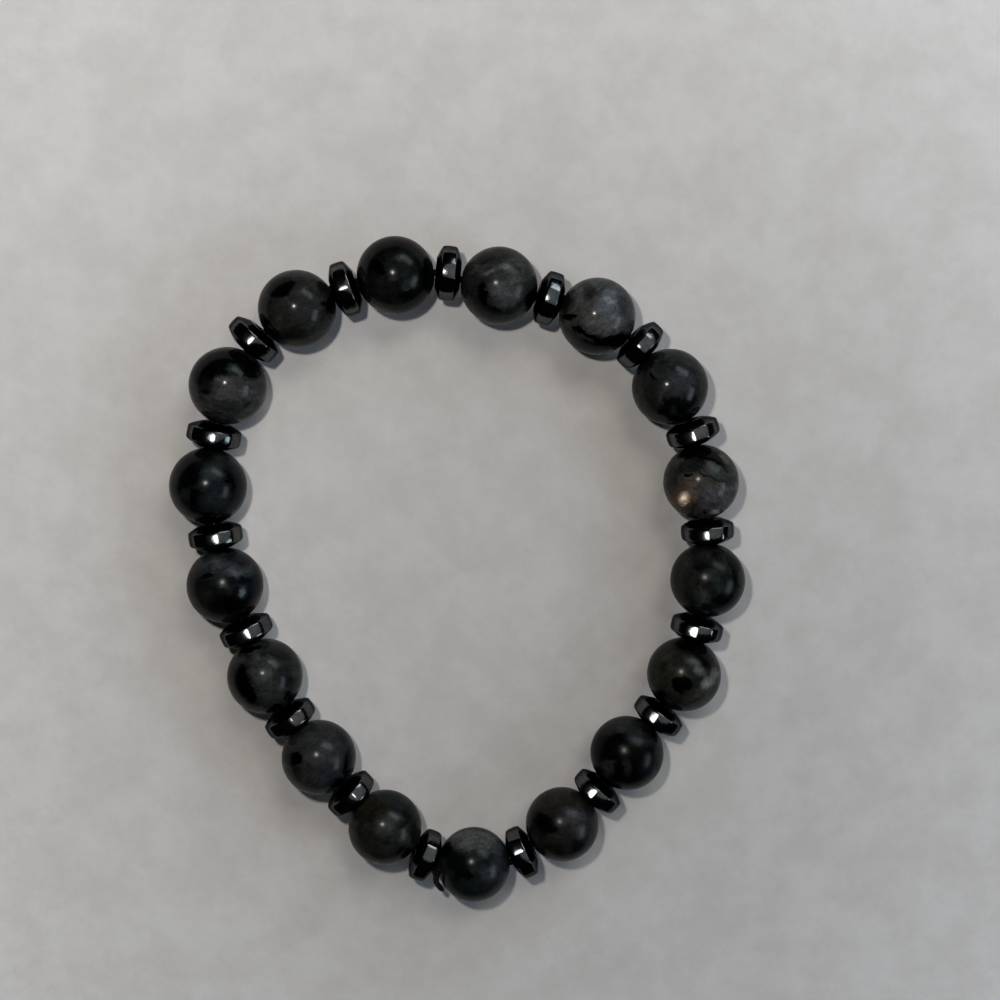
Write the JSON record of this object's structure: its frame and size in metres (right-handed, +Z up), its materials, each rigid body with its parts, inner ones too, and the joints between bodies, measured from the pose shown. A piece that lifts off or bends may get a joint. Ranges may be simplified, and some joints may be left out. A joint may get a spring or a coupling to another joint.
{
  "type": "gemstone bracelet",
  "caption": "Stretch bracelet of round dark grey gemstone beads with faceted metallic spacers between them, on a knotted elastic cord, lying as a closed loop.",
  "frame": {"origin": "on the surface that the bracelet lies on, under the middle of the loop's outline", "axes": "+Z up, away from the surface; +Y towards the top of the picture, along the loop's longer way; +X to the right in the picture"},
  "size_m": [0.061, 0.072, 0.008],
  "materials": {
    "gemstone": "polished, mottled dark grey with black blotches and faint bright flecks",
    "hematite": "mirror polished, dark metallic, faceted",
    "cord": "satin black elastic"
  },
  "bodies": {
    "root": {"bead_01": "gemstone", "bead_02": "gemstone", "bead_03": "gemstone", "bead_04": "gemstone", "bead_05": "gemstone", "bead_06": "gemstone", "bead_07": "gemstone", "bead_08": "gemstone", "bead_09": "gemstone", "bead_10": "gemstone", "bead_11": "gemstone", "bead_12": "gemstone", "bead_13": "gemstone", "bead_14": "gemstone", "bead_15": "gemstone", "bead_16": "gemstone", "bead_17": "gemstone", "spacer_01": "hematite", "spacer_02": "hematite", "spacer_03": "hematite", "spacer_04": "hematite", "spacer_05": "hematite", "spacer_06": "hematite", "spacer_07": "hematite", "spacer_08": "hematite", "spacer_09": "hematite", "spacer_10": "hematite", "spacer_11": "hematite", "spacer_12": "hematite", "spacer_13": "hematite", "spacer_14": "hematite", "spacer_15": "hematite", "spacer_16": "hematite", "spacer_17": "hematite", "elastic_cord": "cord", "knot": "cord"}
  },
  "joints": []
}
